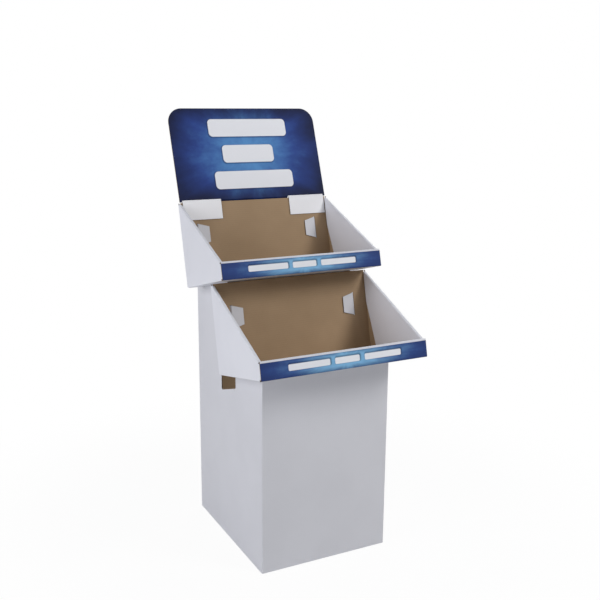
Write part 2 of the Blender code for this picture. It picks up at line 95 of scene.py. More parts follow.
class Sheet:
    """A sheet of board as its middle surface: flat panels joined by rounded creases.

    A panel's frame maps the flat blank, with its inner side up, to the panel's place. So the blank's
    own coordinates run on over the creases, and they become the UV map.
    """

    def __init__(self, name: str, flutes: Vector) -> None:
        """Starts an empty sheet.

        Args:
            name: Name of the piece.
            flutes: Direction in the flat blank across the flutes.
        """
        self.name = name
        self.across = flutes.normalized()
        self.bm = bmesh.new()
        self.flat = self.bm.verts.layers.float_vector.new("flat")

    def panel(
        self,
        place: Matrix,
        outline: Sequence[Vector],
        holes: Sequence[Sequence[Vector]] = (),
        face: Face = Face.PLAIN,
    ) -> None:
        """Adds a flat panel.

        Args:
            place: Frame of the panel.
            outline: Corners in order.
            holes: Corners of each hole in order.
            face: Finish of the outer side.
        """
        to_flat = place.inverted()
        edges = []
        for loop in (outline, *holes):
            verts = [self.bm.verts.new(corner) for corner in loop]
            for vert in verts:
                vert[self.flat] = to_flat @ vert.co
            edges += [self.bm.edges.new(pair) for pair in zip(verts, verts[1:] + verts[:1])]
        if holes:
            made = bmesh.ops.triangle_fill(self.bm, use_beauty=True, edges=edges)["geom"]
        else:
            made = bmesh.ops.edgeloop_fill(self.bm, edges=edges)["faces"]
        self._face_out([item for item in made if isinstance(item, bmesh.types.BMFace)], normal_of(place), face)

    def crease(
        self,
        place: Matrix,
        start: Vector,
        end: Vector,
        heading: Vector,
        angle: float = RIGHT_ANGLE,
        face: Face = Face.PLAIN,
    ) -> Matrix:
        """Adds a rounded crease beside a panel.

        Args:
            place: Frame of the panel.
            start: One end of the crease's near edge.
            end: The other end.
            heading: Roughly the way from the panel over the crease.
            angle: Turn towards the inner side.
            face: Finish of the outer side.

        Returns:
            The frame of the panel beyond the crease.
        """
        inner = normal_of(place)
        along = (end - start).normalized()
        heading = (heading - along * heading.dot(along) - inner * heading.dot(inner)).normalized()
        axis = heading.cross(inner)
        centre = start + inner * math.copysign(BOARD.fold_radius, angle)
        step = angle / BOARD.fold_steps
        flat_step = place.to_3x3().inverted() @ heading * BOARD.fold_radius * abs(step)
        to_flat = place.inverted()
        verts = [self.bm.verts.new(point) for point in (start, end)]
        for vert in verts:
            vert[self.flat] = to_flat @ vert.co
        edge = self.bm.edges.new(verts)
        for index in range(BOARD.fold_steps):
            made = bmesh.ops.extrude_edge_only(self.bm, edges=[edge])["geom"]
            verts = [item for item in made if isinstance(item, bmesh.types.BMVert)]
            edge = next(item for item in made if isinstance(item, bmesh.types.BMEdge))
            strip = [item for item in made if isinstance(item, bmesh.types.BMFace)]
            bmesh.ops.rotate(self.bm, cent=centre, matrix=Matrix.Rotation(step, 3, axis), verts=verts)
            for vert in verts:
                vert[self.flat] = vert[self.flat] + flat_step
            self._face_out(strip, Matrix.Rotation(step * (index + 0.5), 3, axis) @ inner, face)
        turn = Matrix.Translation(centre) @ Matrix.Rotation(angle, 4, axis) @ Matrix.Translation(-centre)
        return turn @ Matrix.Translation(-heading * BOARD.fold_radius * abs(angle)) @ place

    def leg(
        self,
        place: Matrix,
        ends: tuple[Vector, Vector],
        corners: Sequence[Vector],
        face: Face = Face.PLAIN,
    ) -> Matrix:
        """Adds a strip of even width that folds at each inner corner of its middle line.

        Args:
            place: Frame of the panel that the strip leaves.
            ends: The strip's two ends, measured from its middle line.
            corners: Corners of the middle line.
            face: Finish of the outer side.

        Returns:
            The frame of the last stretch.
        """
        low, high = ends
        here = corners[0]
        for corner, after in zip(corners[1:], corners[2:]):
            inner = normal_of(place)
            run_in, run_out = (corner - here).normalized(), (after - corner).normalized()
            angle = math.atan2(run_out.dot(inner), run_out.dot(run_in))
            setback = BOARD.fold_radius * math.tan(abs(angle) / 2)
            near = corner - run_in * setback
            self.panel(place, [here + low, near + low, near + high, here + high], face=face)
            place = self.crease(place, near + low, near + high, run_in, angle, face)
            here = corner + run_out * setback
        last = corners[-1]
        self.panel(place, [here + low, last + low, last + high, here + high], face=face)
        return place

    def _face_out(self, faces: Iterable[bmesh.types.BMFace], inner: Vector, face: Face) -> None:
        """Turns new faces to the outer side and marks their finish."""
        for item in faces:
            item.normal_update()
            if item.normal.dot(inner) > 0:
                item.normal_flip()
            item.material_index = face.value

    def finish(self, placement: Matrix, finishes: Sequence[bpy.types.Material]) -> bpy.types.Object:
        """Thickens the sheet and sinks the raw edges between the liners.

        Args:
            placement: Where the sheet goes in the row frame.
            finishes: Materials of outer side, inner side and raw edge, for each kind of face.

        Returns:
            The finished piece.
        """
        bmesh.ops.remove_doubles(self.bm, verts=self.bm.verts[:], dist=BOARD.gap / 10)
        bmesh.ops.transform(self.bm, matrix=placement, verts=self.bm.verts[:])
        uv = self.bm.loops.layers.uv.new("blank")
        for item in self.bm.faces:
            for loop in item.loops:
                loop[uv].uv = loop.vert[self.flat].xy
        piece = new_object(f"folded_{self.name}", self.bm, keep=True)
        for material in finishes:
            piece.data.materials.append(material)
        shell = piece.modifiers.new("thickness", "SOLIDIFY")
        shell.thickness = BOARD.thickness
        shell.offset = 0
        shell.use_even_offset = True
        shell.material_offset = 1
        shell.material_offset_rim = 2
        apply_modifiers(piece)
        solid = bmesh.new()
        solid.from_mesh(piece.data)
        sink_edges(solid)
        solid.to_mesh(piece.data)
        solid.free()
        shade(piece)
        return piece

    def fluting(self, material: bpy.types.Material) -> bpy.types.Object:
        """Makes the wavy sheet that shows in the board's raw edges.

        Args:
            material: Finish of the fluting.

        Returns:
            The piece.
        """
        wave = bmesh.new()
        for edge in self.bm.edges:
            if edge.is_boundary:
                self._ribbon(wave, edge)
        piece = new_object(f"{self.name}_fluting", wave)
        piece.data.materials.append(material)
        shell = piece.modifiers.new("thickness", "SOLIDIFY")
        shell.thickness = BOARD.flute_sheet
        shell.offset = 0
        apply_modifiers(piece)
        shade(piece)
        return piece

    def _ribbon(self, wave: bmesh.types.BMesh, edge: bmesh.types.BMEdge) -> None:
        """Adds the stretch of fluting that shows along one raw edge."""
        loop = edge.link_loops[0]
        start, end = loop.vert, loop.link_loop_next.vert
        run = end.co - start.co
        inward = loop.face.normal.cross(run).normalized()
        flat_run = end[self.flat] - start[self.flat]
        flat_inward = Vector((flat_run.y, -flat_run.x, 0)).normalized()
        spacing = BOARD.flute_pitch / BOARD.flute_samples
        cuts = int(abs(flat_run.dot(self.across)) / spacing)
        links = [wave.edges.new([wave.verts.new(vert.co) for vert in (start, end)])]
        if cuts:
            split = bmesh.ops.subdivide_edges(wave, edges=links, cuts=cuts)["geom_split"]
            links = [item for item in split if isinstance(item, bmesh.types.BMEdge)]
        chain = {vert for link in links for vert in link.verts}
        made = bmesh.ops.extrude_edge_only(wave, edges=links)["geom"]
        inner = [item for item in made if isinstance(item, bmesh.types.BMVert)]
        length = run.length
        for verts, depth in ((chain, BOARD.liner), (inner, BOARD.edge_recess + BOARD.liner)):
            for vert in verts:
                share = (vert.co - start.co).length / length
                place = start[self.flat] + flat_run * share + flat_inward * depth
                phase = math.tau * place.dot(self.across) / BOARD.flute_pitch
                swing = BOARD.flute_height * math.sin(phase)
                vert.co = vert.co + inward * depth + loop.face.normal * swing


def normal_of(place: Matrix) -> Vector:
    """Direction of a panel's inner side."""
    return (place.to_3x3() @ Vector((0, 0, 1))).normalized()


def new_object(name: str, bm: bmesh.types.BMesh, keep: bool = False) -> bpy.types.Object:
    """Makes an object from a bmesh.

    Args:
        name: Name of the object.
        bm: Its mesh.
        keep: Whether the bmesh is used again.

    Returns:
        The object, linked to the scene.
    """
    mesh = bpy.data.meshes.new(name)
    bm.to_mesh(mesh)
    if not keep:
        bm.free()
    piece = bpy.data.objects.new(name, mesh)
    bpy.context.scene.collection.objects.link(piece)
    return piece


def apply_modifiers(piece: bpy.types.Object) -> None:
    """Applies a piece's modifiers to its mesh."""
    graph = bpy.context.evaluated_depsgraph_get()
    mesh = bpy.data.meshes.new_from_object(piece.evaluated_get(graph))
    piece.modifiers.clear()
    piece.data = mesh
    mesh.name = piece.name


def shade(piece: bpy.types.Object) -> None:
    """Shades a piece smooth, apart from its cut edges."""
    piece.data.shade_smooth()
    piece.data.set_sharp_from_angle(angle=math.radians(35))


def sink_edges(bm: bmesh.types.BMesh) -> None:
    """Sinks the core of each raw edge between the two liners."""
    rim = {item for item in bm.faces if item.material_index % 3 == 2}
    across = [edge for edge in bm.edges if all(item in rim for item in edge.link_faces)]
    for vert in bm.verts:
        vert.tag = False
    made = bmesh.ops.subdivide_edges(bm, edges=across, cuts=2)["geom_inner"]
    cuts = [item for item in made if isinstance(item, bmesh.types.BMVert)]
    for vert in cuts:
        vert.tag = True
    share = 3 * BOARD.liner / BOARD.thickness
    moves = []
    for vert in cuts:
        corner = next(other for edge in vert.link_edges if not (other := edge.other_vert(vert)).tag)
        moves.append(corner.co.lerp(vert.co, share))
    for vert, place in zip(cuts, moves):
        vert.co = place
    core = [item for item in bm.faces if all(vert.tag for vert in item.verts)]
    bmesh.ops.inset_region(bm, faces=core, thickness=0, depth=-BOARD.edge_recess, use_even_offset=True)


@dataclass(frozen=True)
class Seat:
    """Where a tilted sheet sits in the stand's side view: lowest front corner and lean."""

    y: float
    z: float
    lean: float

    @property
    def matrix(self) -> Matrix:
        """Placement of the sheet in the row frame."""
        return Matrix.Translation((0, self.y, self.z)) @ Matrix.Rotation(-self.lean, 4, "X")

    def point(self, depth: float, height: float) -> Vector:
        """A point of the sheet's side view, as (y, z) in the row frame."""
        return (self.matrix @ Vector((0, depth, height))).yz


def crossing(first: tuple[Vector, Vector], second: tuple[Vector, Vector]) -> Vector:
    """Where two lines of the side view cross, each given by two points."""
    run, other = first[1] - first[0], second[1] - second[0]
    share = (second[0] - first[0]).cross(other) / run.cross(other)
    return first[0] + run * share


def arc(corner: Vector, before: Vector, after: Vector, radius: float, steps: int) -> list[Vector]:
    """Points that round one corner of a flat outline.

    Args:
        corner: The corner.
        before: The corner before it.
        after: The corner after it.
        radius: Radius of the arc.
        steps: Stretches of the arc.

    Returns:
        The arc's points in order.
    """
    run_in, run_out = (corner - before).normalized(), (after - corner).normalized()
    turn = run_in.angle(run_out)
    setback = radius * math.tan(turn / 2)
    side = (run_out - run_in * run_out.dot(run_in)).normalized()
    centre = corner - run_in * setback + side * radius
    return [
        centre + (run_in * math.sin(turn * step / steps) - side * math.cos(turn * step / steps)) * radius
        for step in range(steps + 1)
    ]


@dataclass
class Tray:
    """A tray folded from one blank: floor, double side walls, double lip and back panel."""

    name: str
    seat: Seat
    width: float = 0.5137
    depth: float = 0.297
    back: float = 0.2608
    lip: float = 0.0525
    corner_flap: float = 0.085
    front_flap: float = 0.055
    inner_relief: float = 0.004
    inner_break: float = 0.163
    inner_setback: float = 0.047
    tab_width: float = 0.05
    tab_spread: float = 0.16
    tab_drop: float = 0.0
    slot_clearance: float = 0.0015
    hook_low: float = 0.1265
    hook_high: float = 0.1937
    column_width: float = 0.408
    margin: float = 0.0012

    @property
    def wall(self) -> float:
        """Thickness of a side wall or the lip, with the flap between its layers."""
        return 3 * BOARD.thickness + 2 * BOARD.gap

    @property
    def front(self) -> float:
        """Where the side walls begin, behind the lip."""
        return self.wall + BOARD.gap

    @property
    def slope(self) -> float:
        """Slope angle of the side walls' tops."""
        return math.atan((self.back - self.lip) / (self.depth - self.front))

    def side_top(self, y: float, below: float = 0.0) -> float:
        """Height of a side wall at a depth, less a distance square to its slanted top."""
        rise = (y - self.front) * math.tan(self.slope)
        return self.lip + rise - below / math.cos(self.slope)

    def fold(self) -> Sheet:
        """Cuts and folds the blank in the tray's own frame.

        Returns:
            The folded sheet.
        """
        sheet = Sheet(self.name, Vector((0, 1, 0)))
        radius, half = BOARD.fold_radius, BOARD.half
        side, edge = self.width / 2 - half, half + radius
        rear = self.depth - half - radius
        floor = Matrix.Translation((0, 0, half))
        back_half = self.width / 2 - BOARD.thickness - BOARD.gap - half - radius
        bend = side - radius
        ends = self.width / 2
        relief = self.front + BOARD.gap
        outline = [(-ends, edge), (ends, edge), (ends, self.front), (bend, self.front), (bend, relief)]
        outline += [(bend, rear), (back_half, rear), (-back_half, rear), (-bend, rear), (-bend, relief)]
        outline += [(-bend, self.front), (-ends, self.front)]
        slot_half = self.tab_width / 2 + self.slot_clearance
        slot_y = (self.wall - BOARD.thickness - BOARD.gap, self.front)
        slots = [rectangle(at - slot_half, at + slot_half, *slot_y) for at in (-self.tab_spread, self.tab_spread)]
        lift = [[Vector((x, y, half)) for x, y in loop] for loop in (outline, *slots)]
        sheet.panel(floor, lift[0], lift[1:])
        self._fold_lip(sheet, floor)
        self._fold_back(sheet, floor, back_half, rear)
        for hand in (1, -1):
            self._fold_side(sheet, floor, hand, rear)
        return sheet

    def _fold_lip(self, sheet: Sheet, floor: Matrix) -> None:
        """Folds the lip up, over and back down, with its lock tabs through the floor."""
        radius, half, ends = BOARD.fold_radius, BOARD.half, self.width / 2
        edge, top, inner = half + radius, self.lip - half, self.wall - half
        front = sheet.crease(
            floor, Vector((-ends, edge, half)), Vector((ends, edge, half)), Vector((0, -1, 0)), face=Face.PRINTED
        )
        face = [(-ends, edge), (ends, edge), (ends, top - radius), (-ends, top - radius)]
        sheet.panel(front, [Vector((x, half, z)) for x, z in face], face=Face.PRINTED)
        over = sheet.crease(
            front,
            Vector((-ends, half, top - radius)),
            Vector((ends, half, top - radius)),
            Vector((0, 0, 1)),
            face=Face.PRINTED,
        )
        short = self.width / 2 - BOARD.thickness - BOARD.gap
        flat_end = inner - radius
        cap = [(-ends, edge), (ends, edge), (ends, flat_end), (short, flat_end), (-short, flat_end), (-ends, flat_end)]
        sheet.panel(over, [Vector((x, y, top)) for x, y in cap])
        down = sheet.crease(
            over, Vector((-short, flat_end, top)), Vector((short, flat_end, top)), Vector((0, 1, 0))
        )
        foot, tip = BOARD.thickness + BOARD.gap, -self.tab_drop
        layer = [(-short, top - radius), (short, top - radius), (short, foot)]
        for at in (self.tab_spread, -self.tab_spread):
            low, high = at - self.tab_width / 2, at + self.tab_width / 2
            layer += [(high, foot), (high, tip), (low, tip), (low, foot)]
        layer += [(-short, foot)]
        sheet.panel(down, [Vector((x, inner, z)) for x, z in layer])

    def _fold_back(self, sheet: Sheet, floor: Matrix, reach: float, rear: float) -> None:
        """Folds the back panel up and its flaps forward."""
        radius, half = BOARD.fold_radius, BOARD.half
        y = self.depth - half
        up = sheet.crease(floor, Vector((reach, rear, half)), Vector((-reach, rear, half)), Vector((0, 1, 0)))
        foot = half + radius
        low = foot + radius / 2
        high = self.side_top(rear, BOARD.thickness + 4 * BOARD.gap)
        face = [(-reach, foot), (reach, foot), (reach, low), (reach, high), (reach, self.back)]
        face += [(-reach, self.back), (-reach, high), (-reach, low)]
        clear = self.slot_clearance
        slot_x = (self.column_width / 2 - BOARD.thickness - clear, self.column_width / 2 + clear)
        slot_z = (self.hook_low - clear, self.hook_high + clear)
        slots = [rectangle(*slot_x, *slot_z), rectangle(-slot_x[1], -slot_x[0], *slot_z)]
        raised = [[Vector((x, y, z)) for x, z in loop] for loop in (face, *slots)]
        sheet.panel(up, raised[0], raised[1:])
        front = self.depth - self.corner_flap
        for hand in (1, -1):
            x = hand * reach
            flap = sheet.crease(up, Vector((x, y, low)), Vector((x, y, high)), Vector((hand, 0, 0)))
            at = x + hand * radius
            corners = [(rear, low), (rear, high), (front, self.side_top(front, BOARD.thickness + 4 * BOARD.gap))]
            corners += [(front, low)]
            sheet.panel(flap, [Vector((at, v, z)) for v, z in corners])

    def _fold_side(self, sheet: Sheet, floor: Matrix, hand: int, rear: float) -> None:
        """Folds one side wall up, its front flap in behind the lip, and its inner layer down."""
        radius, half = BOARD.fold_radius, BOARD.half
        side, inner = self.width / 2 - half, self.width / 2 - self.wall + half
        bend, foot = side - radius, half + radius
        up = sheet.crease(
            floor,
            Vector((hand * bend, self.front + BOARD.gap, half)),
            Vector((hand * bend, rear, half)),
            Vector((hand, 0, 0)),
        )
        setback, relief = half + radius, self.front + BOARD.gap
        flap_y = BOARD.thickness + BOARD.gap + half
        low, high = foot + radius / 2, self.side_top(self.front, setback) - radius / 2
        stop = self.depth - BOARD.thickness - BOARD.gap
        face = [(relief, foot), (rear, foot), (self.depth, foot)]
        face += [(y, self.side_top(y, BOARD.liner)) for y in (self.depth, stop + 2 * BOARD.gap)]
        face += [(y, self.side_top(y, setback)) for y in (stop, self.front)]
        face += [(self.front, high), (flap_y + radius, high), (flap_y + radius, low), (relief, low)]
        sheet.panel(up, [Vector((hand * side, y, z)) for y, z in face])
        flap_start = flap_y + radius
        flap = sheet.crease(
            up,
            Vector((hand * side, flap_start, low)),
            Vector((hand * side, flap_start, high)),
            Vector((0, -1, 0)),
        )
        free = self.width / 2 - BOARD.thickness - self.front_flap
        flap_face = rectangle(free, bend, low, high)
        sheet.panel(flap, [Vector((hand * x, flap_y, z)) for x, z in flap_face])
        near, far = self.side_top(self.front, setback), self.side_top(stop, setback)
        rise = Vector((0, -math.sin(self.slope), math.cos(self.slope)))
        over = sheet.crease(
            up, Vector((hand * side, self.front, near)), Vector((hand * side, stop, far)), rise
        )
        lift = rise * radius
        end = self.depth - BOARD.thickness - self.inner_relief
        last = self.side_top(end, setback)
        cap = [(bend, self.front, near), (bend, stop, far), (inner + radius, end, last), (inner + radius, self.front, near)]
        corners = [Vector((hand * x, y, z)) + lift for x, y, z in cap]
        sheet.panel(over, corners)
        down = sheet.crease(over, corners[2], corners[3], Vector((-hand, 0, 0)))
        base = BOARD.thickness + BOARD.gap
        layer = [(self.front, near), (self.front, base), (self.depth - self.inner_setback, base)]
        layer += [(end, self.inner_break), (end, last)]
        sheet.panel(down, [Vector((hand * inner, y, z)) for y, z in layer])


def rectangle(left: float, right: float, low: float, high: float) -> list[tuple[float, float]]:
    """Corners of a rectangle, in order."""
    return [(left, low), (right, low), (right, high), (left, high)]


@dataclass
class Column:
    """The stepped sleeve that carries the trays."""

    lower: Seat
    upper: Seat
    tray: Tray
    low: Vector
    high: Vector
    glue_flap: float = 0.035
    hole_width: float = 0.108
    hole_height: float = 0.058
    hole_shift: float = 0.006
    hole_drop: float = 0.087
    hole_rise: float = 0.036
    hole_corner: float = 0.006
    hole_corner_steps: int = 6
    tear_width: float = 0.0012
    tear_depth: float = 0.011
    tear_setback: float = 0.011
    hook_reach: float = 0.0375
    hook_taper: float = 0.0098

    def fold(self) -> Sheet:
        """Cuts and folds the blank in the row frame.

        Returns:
            The folded sheet.
        """
        sheet = Sheet("column", Vector((1, 0, 0)))
        radius, half = BOARD.fold_radius, BOARD.half
        side = self.high.x - half
        bend = side - radius
        y = self.low.y + half
        face = Matrix(((-1, 0, 0, 0), (0, 0, 1, y), (0, 1, 0, 0), (0, 0, 0, 1)))
        top = self._profile(y + radius, self.high.y)[0].y
        corners = rectangle(-bend, bend, 0, top)
        sheet.panel(face, [Vector((x, y, z)) for x, z in corners])
        for hand in (1, -1):
            turn = sheet.crease(
                face, Vector((hand * bend, y, 0)), Vector((hand * bend, y, top)), Vector((hand, 0, 0))
            )
            self._fold_side(sheet, turn, hand)
        return sheet

    def _profile(self, front: float, rear: float) -> list[Vector]:
        """Stepped edge of a side panel, as (y, z) points between two values of y."""
        gap, depth, ceiling = BOARD.gap, self.tray.depth + BOARD.gap, self.high.z
        floors = [(seat.point(0, -gap), seat.point(depth, -gap)) for seat in (self.lower, self.upper)]
        backs = [(seat.point(depth, -gap), seat.point(depth, self.tray.back)) for seat in (self.lower, self.upper)]
        points = [
            crossing((Vector((front, 0)), Vector((front, ceiling))), floors[0]),
            floors[0][1],
            crossing(backs[0], floors[1]),
            floors[1][1],
        ]
        end = crossing(backs[1], (Vector((0, ceiling)), Vector((1, ceiling))))
        if end.x < rear:
            return points + [end, Vector((rear, ceiling))]
        return points + [crossing(backs[1], (Vector((rear, 0)), Vector((rear, ceiling))))]

    def _hook(self, seat: Seat) -> list[Vector]:
        """Root of a hook in a side panel's stepped edge, from low to high, as (y, z) points."""
        flat = self.tray.depth - BOARD.thickness - BOARD.gap - BOARD.half + BOARD.fold_radius
        edge, low, high = self.tray.depth + BOARD.gap, self.tray.hook_low, self.tray.hook_high
        return [seat.point(edge, low), seat.point(flat, low), seat.point(flat, high), seat.point(edge, high)]

    def _fold_side(self, sheet: Sheet, place: Matrix, hand: int) -> None:
        """Adds one side panel with its hooks, and what follows it round the sleeve."""
        radius, half = BOARD.fold_radius, BOARD.half
        x = hand * (self.high.x - half)
        front = self.low.y + half + radius
        last = self.high.y - half - (BOARD.thickness + BOARD.gap if hand > 0 else 0)
        rear = last - radius
        steps = self._profile(front, rear)
        lower, upper = self._hook(self.lower), self._hook(self.upper)
        edge = [steps[0], steps[1], *lower, steps[2], steps[3], *upper, *steps[4:]]
        outline = [Vector((front, 0)), *edge, Vector((rear, 0))]
        sheet.panel(
            place,
            [Vector((x, p.x, p.y)) for p in outline],
            [[Vector((x, p.x, p.y)) for p in self._hole(torn=hand < 0)]],
        )
        for seat in (self.lower, self.upper):
            self._fold_hook(sheet, place, seat, hand)
        top = steps[-1].y
        turn = sheet.crease(place, Vector((x, rear, 0)), Vector((x, rear, top)), Vector((0, 1, 0)))
        end = self.high.x - BOARD.thickness - self.glue_flap if hand > 0 else self.high.x
        corners = rectangle(x - hand * radius, end, 0, top)
        sheet.panel(turn, [Vector((u, last, z)) for u, z in corners])

    def _fold_hook(self, sheet: Sheet, place: Matrix, seat: Seat, hand: int) -> None:
        """Adds the tapered end of a hook, folded in behind the tray's back panel."""
        radius, half, tray = BOARD.fold_radius, BOARD.half, self.tray
        x = hand * (self.high.x - half)
        flat = tray.depth - BOARD.thickness - BOARD.gap - half
        start, end = (seat.matrix @ Vector((x, flat + radius, z)) for z in (tray.hook_low, tray.hook_high))
        turn = sheet.crease(place, start, end, seat.matrix.to_3x3() @ Vector((0, -1, 0)))
        near, free = hand * (self.high.x - half - radius), hand * (self.high.x - self.hook_reach)
        low, high = tray.hook_low + self.hook_taper, tray.hook_high - self.hook_taper
        corners = [(near, tray.hook_low), (free, low), (free, high), (near, tray.hook_high)]
        sheet.panel(turn, [seat.matrix @ Vector((u, flat, z)) for u, z in corners])

    def _hole(self, torn: bool) -> list[Vector]:
        """Outline of a hand hole, as (y, z) points.

        Args:
            torn: Whether its lower edge has a small tear near the front.

        Returns:
            The corners in order.
        """
        middle = (self.low.y + self.high.y) / 2 - self.hole_shift
        front, rear = middle - self.hole_width / 2, middle + self.hole_width / 2
        sill = self.lower.point(self.tray.depth, 0).y - self.hole_drop
        corners = [Vector((front, sill + self.hole_rise)), Vector((rear, sill))]
        corners += [corner + Vector((0, self.hole_height)) for corner in reversed(corners)]
        points = []
        for index, corner in enumerate(corners):
            before, after = corners[index - 1], corners[(index + 1) % len(corners)]
            points += arc(corner, before, after, self.hole_corner, self.hole_corner_steps)
            if torn and index == 0:
                at, slope = front + self.tear_setback, -self.hole_rise / self.hole_width
                edge = sill + self.hole_rise + slope * self.tear_setback
                half = self.tear_width / 2
                points += [Vector((at - half, edge - slope * half)), Vector((at, edge - self.tear_depth))]
                points += [Vector((at + half, edge + slope * half))]
        return points


@dataclass
class HeaderCard:
    """The printed card that straddles the upper tray's back panel."""

    tray: Tray
    width: float = 0.5044
    height: float = 0.2982
    corner: float = 0.046
    corner_steps: int = 16
    lean: float = math.radians(20.23)
    rise: float = 0.0024
    bend: float = 0.003
    foot: float = 0.0546
    slit: float = 0.118
    slit_width: float = 0.002
    tab_width: float = 0.1265

    @property
    def seat(self) -> Seat:
        """Foot of the card's face, over the front of the tray's back panel."""
        point = self.tray.seat.point(self.tray.depth - BOARD.thickness, self.tray.back + self.rise)
        return Seat(point.x, point.y, self.lean)

    def fold(self) -> Sheet:
        """Cuts and folds the blank in the card's own frame.

        Returns:
            The folded sheet.
        """
        sheet = Sheet("header_card", Vector((1, 0, 0)))
        half_width, half = self.width / 2, BOARD.half
        face = Matrix(((-1, 0, 0, 0), (0, 0, 1, half), (0, 1, 0, 0), (0, 0, 0, 1)))
        front = self._leg_line(self.tray.depth - BOARD.thickness - BOARD.gap - half)
        rear = self._leg_line(self.tray.depth + BOARD.gap + half)
        tab_end, tongue = self.slit + self.tab_width, self.slit - self.slit_width
        starts = [line[0].z for line in (front, rear)]
        notch = tab_end + BOARD.gap
        foot = [(-half_width, 0), (-notch, 0), (-notch, starts[0]), (-tab_end, starts[0]), (-self.slit, starts[0])]
        foot += [(-tongue, starts[1])]
        foot += [(-x, z) for x, z in reversed(foot)]
        corners = [Vector(p) for p in ((half_width, 0), (half_width, self.height), (-half_width, self.height), (-half_width, 0))]
        outline = [Vector(p) for p in foot]
        outline += arc(corners[1], corners[0], corners[2], self.corner, self.corner_steps)
        outline += arc(corners[2], corners[1], corners[3], self.corner, self.corner_steps)
        sheet.panel(face, [Vector((p.x, half, p.y)) for p in outline], face=Face.PRINTED)
        for low, high in ((self.slit, tab_end), (-tab_end, -self.slit)):
            sheet.leg(face, (Vector((low, 0, 0)), Vector((high, 0, 0))), front)
        sheet.leg(face, (Vector((-tongue, 0, 0)), Vector((tongue, 0, 0))), rear, Face.PRINTED)
        return sheet

    def _leg_line(self, depth: float) -> list[Vector]:
        """Middle line of a tab or the tongue in the card's frame, down from the card's bend.

        Args:
            depth: Depth at which it hangs, in the tray's frame.

        Returns:
            The corners from the card to the free end.
        """
        to_card = self.seat.matrix.inverted() @ self.tray.seat.matrix
        shoulder = to_card @ Vector((0, depth, self.tray.back + BOARD.gap))
        end = to_card @ Vector((0, depth, self.tray.back - self.foot))
        bend = Vector((0, BOARD.half, self.bend))
        return [bend + Vector((0, 0, BOARD.fold_radius)), bend, shoulder, end]


class Wire:
    """A value in a material's node tree. Arithmetic on it adds Math nodes."""

    def __init__(self, shader: Shader, socket: bpy.types.NodeSocket) -> None:
        """Wraps an output socket."""
        self.shader, self.socket = shader, socket

    def math(self, operation: str, *values: Wire | float) -> Wire:
        """Applies a Math operation to this value and others."""
        inputs = dict(enumerate((self, *values)))
        return self.shader.node("ShaderNodeMath", {"operation": operation}, inputs)

    def __add__(self, other: Wire | float) -> Wire:
        """Sum of this value and another."""
        return self.math("ADD", other)

    def __radd__(self, other: float) -> Wire:
        """Sum of a number and this value."""
        return self.math("ADD", other)

    def __sub__(self, other: Wire | float) -> Wire:
        """This value less another."""
        return self.math("SUBTRACT", other)

    def __rsub__(self, other: float) -> Wire:
        """A number less this value."""
        return (self * -1) + other

    def __mul__(self, other: Wire | float) -> Wire:
        """Product of this value and another."""
        return self.math("MULTIPLY", other)

    def __rmul__(self, other: float) -> Wire:
        """Product of a number and this value."""
        return self.math("MULTIPLY", other)

    def __truediv__(self, other: Wire | float) -> Wire:
        """This value divided by another."""
        return self.math("DIVIDE", other)

    def __neg__(self) -> Wire:
        """This value with its sign changed."""
        return self * -1

    def clamp(self) -> Wire:
        """The value kept between 0 and 1."""
        return self.shader.node("ShaderNodeClamp", {}, {0: self})

    def smooth(self, low: float, high: float) -> Wire:
        """A smooth step from 0 at one value to 1 at another."""
        settings = {"interpolation_type": "SMOOTHSTEP"}
        return self.shader.node("ShaderNodeMapRange", settings, {0: self, 1: low, 2: high, 3: 0.0, 4: 1.0})


